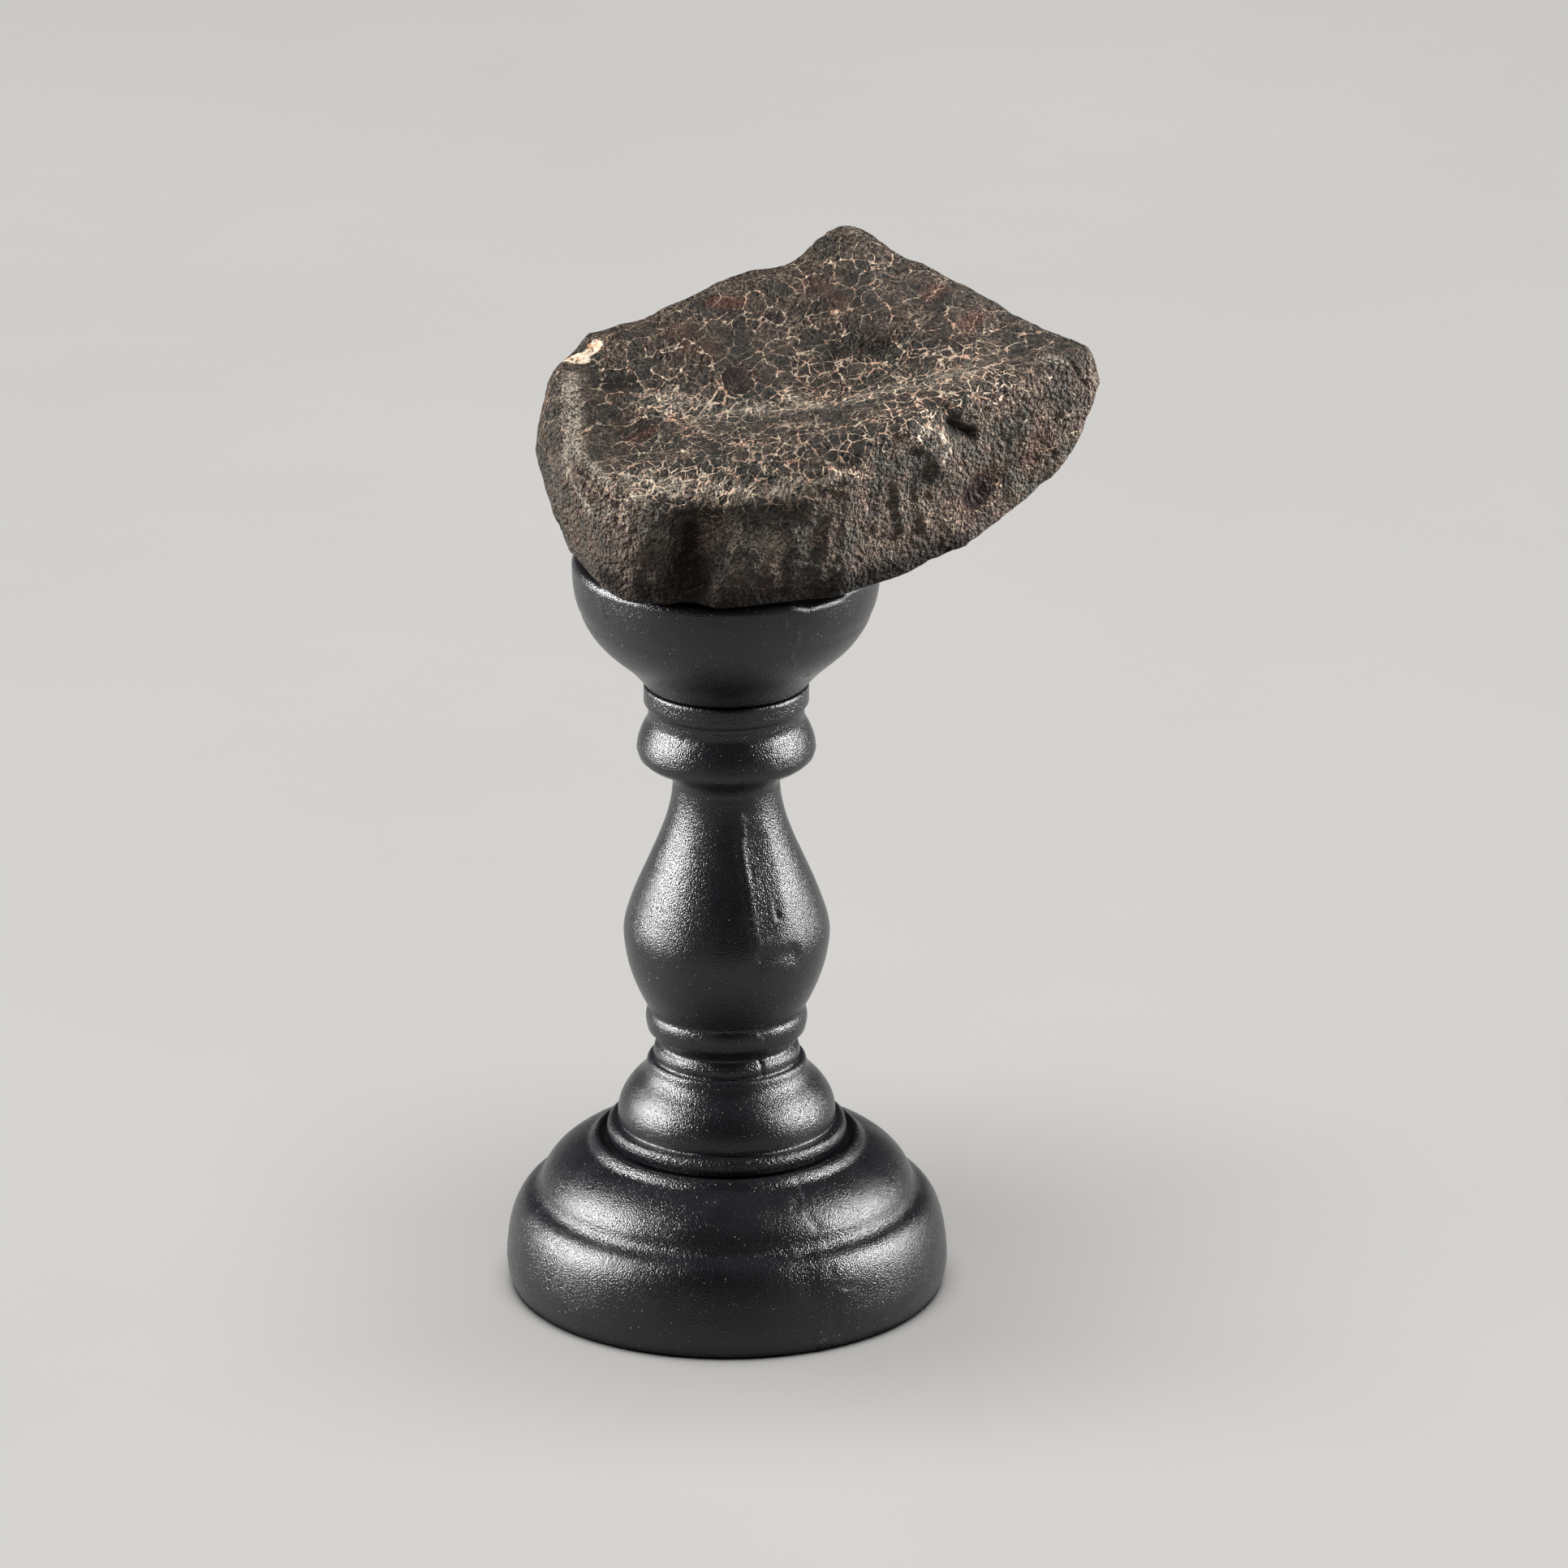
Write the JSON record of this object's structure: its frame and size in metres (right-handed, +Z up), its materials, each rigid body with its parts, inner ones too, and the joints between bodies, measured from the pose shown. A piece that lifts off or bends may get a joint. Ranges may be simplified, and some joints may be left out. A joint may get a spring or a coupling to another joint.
{
  "type": "meteorite on stand",
  "caption": "Rough stony meteorite with a cracked dark crust, resting in the shallow cup of a black turned candlestick-style stand with a round foot.",
  "frame": {"origin": "on the supporting surface, at the middle of the round base", "axes": "+Z up along the axis of the turned stand, -Y towards the front, +X to the right towards the stone's overhanging end"},
  "size_m": [0.073, 0.0548, 0.1322],
  "materials": {
    "painted_wood": "satin black spray paint with a fine orange peel",
    "stone_crust": "matt grey-brown fusion crust, crazed with cream hairline cracks"
  },
  "bodies": {
    "root": {"base": "painted_wood", "stem": "painted_wood", "cup": "painted_wood", "meteorite": "stone_crust"}
  },
  "joints": []
}
